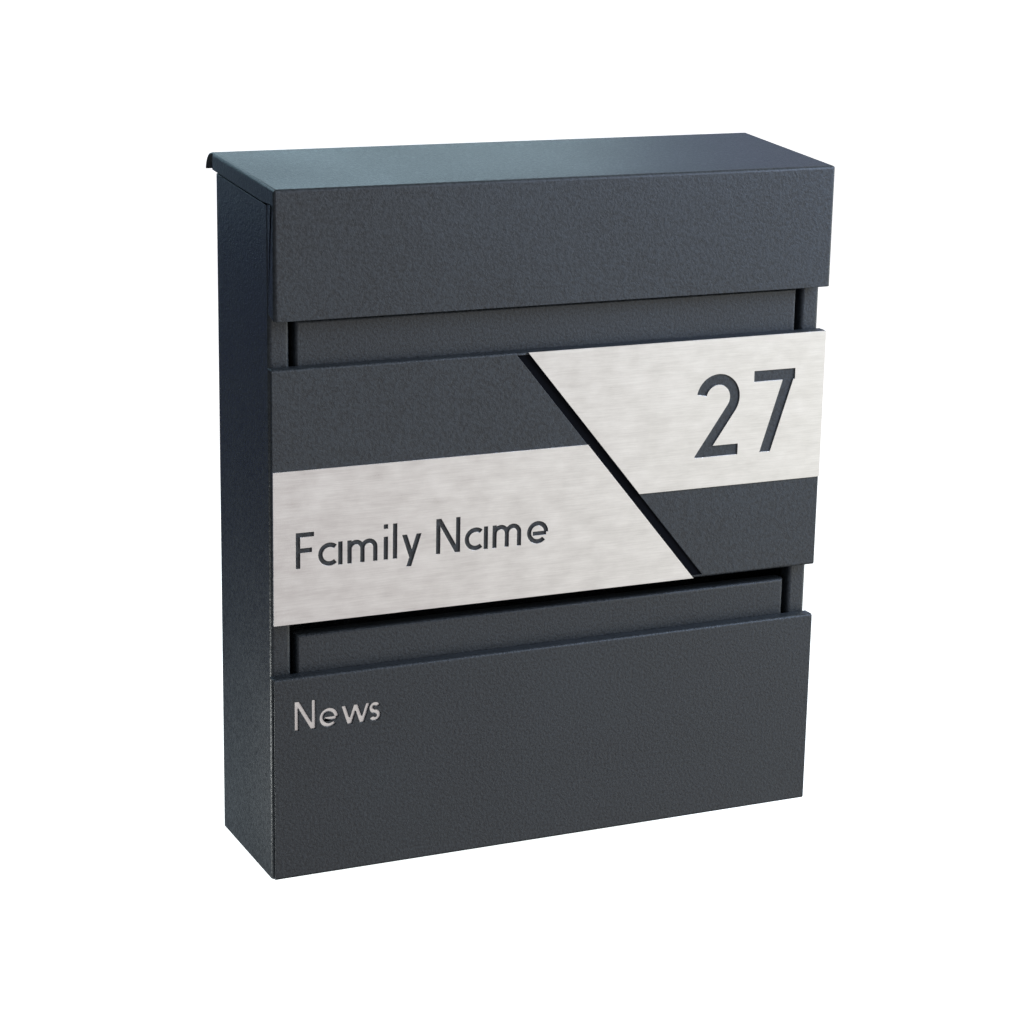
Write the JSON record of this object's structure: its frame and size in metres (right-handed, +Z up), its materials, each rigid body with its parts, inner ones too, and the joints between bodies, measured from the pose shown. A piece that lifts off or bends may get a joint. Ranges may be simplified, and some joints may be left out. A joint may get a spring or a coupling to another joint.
{
  "type": "wall mounted mailbox",
  "caption": "Steel wall mailbox with an overhanging lid over a letter slot, a lockable lower-hinged door and a newspaper compartment behind a flap.",
  "frame": {"origin": "centre of the four wall holes, on the wall's surface at the rear ends of the stand-offs", "axes": "+X to the right seen from the front, +Y into the wall, +Z up; the lid, door and flap face -Y"},
  "size_m": [0.372, 0.128, 0.434],
  "materials": {
    "powder_coat": "fine-textured anthracite powder coat, matt",
    "stainless_facing": "stainless steel, brushed along the width",
    "plated_steel": "bright zinc plating",
    "lock_metal": "satin nickel on die-cast metal",
    "magnet": "nickel plating",
    "lock_core": "turned brass",
    "spacer_plastic": "black moulded nylon",
    "rubber": "matt black rubber"
  },
  "bodies": {
    "casing": {"body_shell": "powder_coat", "floor_panel": "powder_coat", "shelf_panel": "powder_coat", "header_panel": "powder_coat", "letter_guide": "powder_coat", "hinge_brackets": "powder_coat", "lid_rod": "plated_steel", "door_rod": "plated_steel", "flap_rod": "plated_steel", "rod_push_nuts": "plated_steel", "standoffs": "spacer_plastic", "seal_washers": "rubber", "lock_barrel": "lock_metal", "lock_nut": "lock_metal", "magnet_brackets": "powder_coat", "catch_magnets": "magnet"},
    "lid": {"lid_shell": "powder_coat", "lid_lugs": "powder_coat", "lid_bumpers": "rubber"},
    "letter_door": {"door_panel": "powder_coat", "front_tray": "powder_coat", "slot_backing": "spacer_plastic", "name_plate": "stainless_facing", "number_plate": "stainless_facing", "tray_spacers": "spacer_plastic", "tray_studs": "plated_steel", "tray_nuts": "plated_steel", "keeper_bracket": "plated_steel", "door_bumpers": "rubber"},
    "news_flap": {"flap_panel": "powder_coat", "news_tray": "powder_coat", "label_backing": "stainless_facing", "flap_spacers": "spacer_plastic", "flap_studs": "plated_steel", "flap_nuts": "plated_steel", "magnet_keepers": "plated_steel", "flap_bumpers": "rubber"},
    "lock_cylinder": {"lock_plug": "lock_core", "lock_cam": "plated_steel", "cam_screw": "plated_steel"}
  },
  "joints": [
    {"name": "lid_hinge", "type": "hinge", "parent": "casing", "child": "lid", "pos_m": [0, -0.015, 0.226], "axis": [-1, 0, 0], "range_deg": [0, 85]},
    {"name": "door_hinge", "type": "hinge", "parent": "casing", "child": "letter_door", "pos_m": [0, -0.1194, -0.0269], "axis": [1, 0, 0], "range_deg": [0, 90]},
    {"name": "flap_hinge", "type": "hinge", "parent": "casing", "child": "news_flap", "pos_m": [0, -0.1194, -0.1894], "axis": [1, 0, 0], "range_deg": [0, 90]},
    {"name": "lock_turn", "type": "hinge", "parent": "casing", "child": "lock_cylinder", "pos_m": [0, -0.116, 0.17], "axis": [0, 1, 0], "range_deg": [0, 90]}
  ]
}
